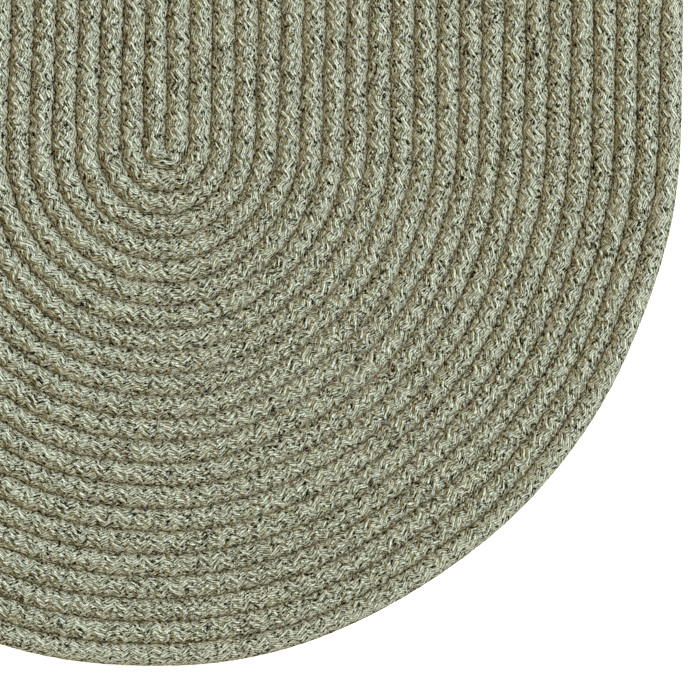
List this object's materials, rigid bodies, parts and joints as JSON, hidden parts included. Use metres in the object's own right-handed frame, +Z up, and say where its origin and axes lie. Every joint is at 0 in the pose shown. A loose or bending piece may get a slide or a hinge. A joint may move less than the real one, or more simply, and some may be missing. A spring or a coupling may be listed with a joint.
{
  "type": "oval braided rug",
  "caption": "Flat oval rug of one thick yarn braid coiled into a spiral and laced edge to edge, heathered sage and brown.",
  "frame": {"origin": "middle of the rug's outline, at the level that it lies on", "axes": "+Y along the rug's long axis, +X across it, +Z up out of its top face"},
  "size_m": [0.918, 1.5296, 0.011],
  "materials": {
    "braid_yarn": "matte heathered wool-blend yarn, plaited into a tubular braid"
  },
  "bodies": {
    "root": {"braided_rug": "braid_yarn"}
  },
  "joints": []
}
